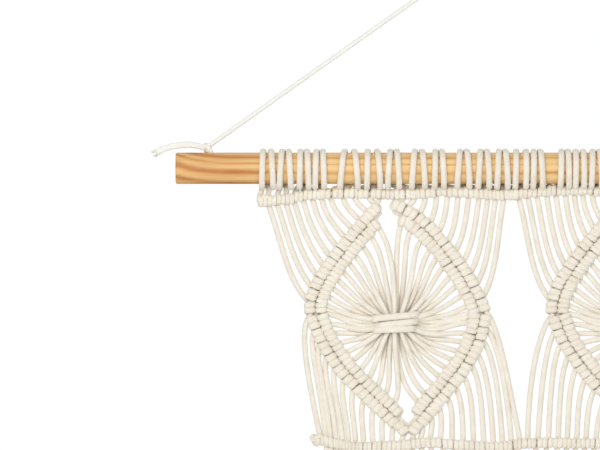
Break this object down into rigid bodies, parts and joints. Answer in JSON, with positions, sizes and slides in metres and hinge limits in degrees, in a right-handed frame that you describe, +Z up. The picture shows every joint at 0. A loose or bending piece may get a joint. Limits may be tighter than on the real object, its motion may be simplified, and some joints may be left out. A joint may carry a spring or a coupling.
{
  "type": "macrame wall hanging",
  "caption": "Knotted cotton wall hanging on a round wooden dowel: lark's heads, two rows of hitches, a band of diamonds with gathered centres, a fringe, and a hanger cord.",
  "frame": {"origin": "the point of the wall hook that carries the hanger cord", "axes": "+X along the dowel towards its right end, -Y towards the viewer, +Z up"},
  "size_m": [0.6798, 0.0284, 0.627],
  "materials": {
    "dowel_wood": "bare sanded softwood with brown grain streaks",
    "cotton_cord": "soft twisted cotton cord, undyed cream",
    "hanger_braid": "thin braided cotton cord, off-white"
  },
  "bodies": {
    "hanger": {"hanger_cord": "hanger_braid", "hanger_knot_left": "hanger_braid", "hanger_tail_left": "hanger_braid", "hanger_knot_right": "hanger_braid", "hanger_tail_right": "hanger_braid"},
    "dowel": {"dowel": "dowel_wood", "hanger_loop_left": "hanger_braid", "hanger_loop_right": "hanger_braid"},
    "header": {"larks_head_01": "cotton_cord", "larks_head_02": "cotton_cord", "larks_head_03": "cotton_cord", "larks_head_04": "cotton_cord", "larks_head_05": "cotton_cord", "larks_head_06": "cotton_cord", "larks_head_07": "cotton_cord", "larks_head_08": "cotton_cord", "larks_head_09": "cotton_cord", "larks_head_10": "cotton_cord", "larks_head_11": "cotton_cord", "larks_head_12": "cotton_cord", "larks_head_13": "cotton_cord", "larks_head_14": "cotton_cord", "larks_head_15": "cotton_cord", "larks_head_16": "cotton_cord", "larks_head_17": "cotton_cord", "larks_head_18": "cotton_cord", "larks_head_19": "cotton_cord", "larks_head_20": "cotton_cord", "larks_head_21": "cotton_cord", "larks_head_22": "cotton_cord", "larks_head_23": "cotton_cord", "larks_head_24": "cotton_cord", "larks_head_25": "cotton_cord", "larks_head_26": "cotton_cord", "larks_head_27": "cotton_cord", "larks_head_28": "cotton_cord", "larks_head_29": "cotton_cord", "larks_head_30": "cotton_cord", "larks_head_31": "cotton_cord", "larks_head_32": "cotton_cord", "larks_head_33": "cotton_cord", "larks_head_34": "cotton_cord", "larks_head_35": "cotton_cord", "larks_head_36": "cotton_cord", "upper_hitch_row": "cotton_cord"},
    "band": {"diamond_1": "cotton_cord", "inner_strands_1": "cotton_cord", "gather_1": "cotton_cord", "diamond_2": "cotton_cord", "inner_strands_2": "cotton_cord", "gather_2": "cotton_cord", "diamond_3": "cotton_cord", "inner_strands_3": "cotton_cord", "gather_3": "cotton_cord", "upper_strands": "cotton_cord", "lower_strands": "cotton_cord", "lower_hitch_row": "cotton_cord"},
    "fringe_part_1": {"fringe_1": "cotton_cord"},
    "fringe_part_2": {"fringe_2": "cotton_cord"},
    "fringe_part_3": {"fringe_3": "cotton_cord"}
  },
  "joints": [
    {"name": "dowel_swing", "type": "hinge", "parent": "hanger", "child": "dowel", "pos_m": [0, 0, -0.21115], "axis": [-1, 0, 0], "range_deg": [-8, 30]},
    {"name": "header_swing", "type": "hinge", "parent": "dowel", "child": "header", "pos_m": [0, 0, -0.226], "axis": [-1, 0, 0], "range_deg": [-8, 40]},
    {"name": "band_fold", "type": "hinge", "parent": "header", "child": "band", "pos_m": [0, 0, -0.24438], "axis": [-1, 0, 0], "range_deg": [-20, 60]},
    {"name": "fringe_swing_1", "type": "hinge", "parent": "band", "child": "fringe_part_1", "pos_m": [0, 0, -0.41968], "axis": [-1, 0, 0], "range_deg": [-30, 75]},
    {"name": "fringe_swing_2", "type": "hinge", "parent": "band", "child": "fringe_part_2", "pos_m": [0, 0, -0.41968], "axis": [-1, 0, 0], "range_deg": [-30, 75]},
    {"name": "fringe_swing_3", "type": "hinge", "parent": "band", "child": "fringe_part_3", "pos_m": [0, 0, -0.41968], "axis": [-1, 0, 0], "range_deg": [-30, 75]}
  ]
}
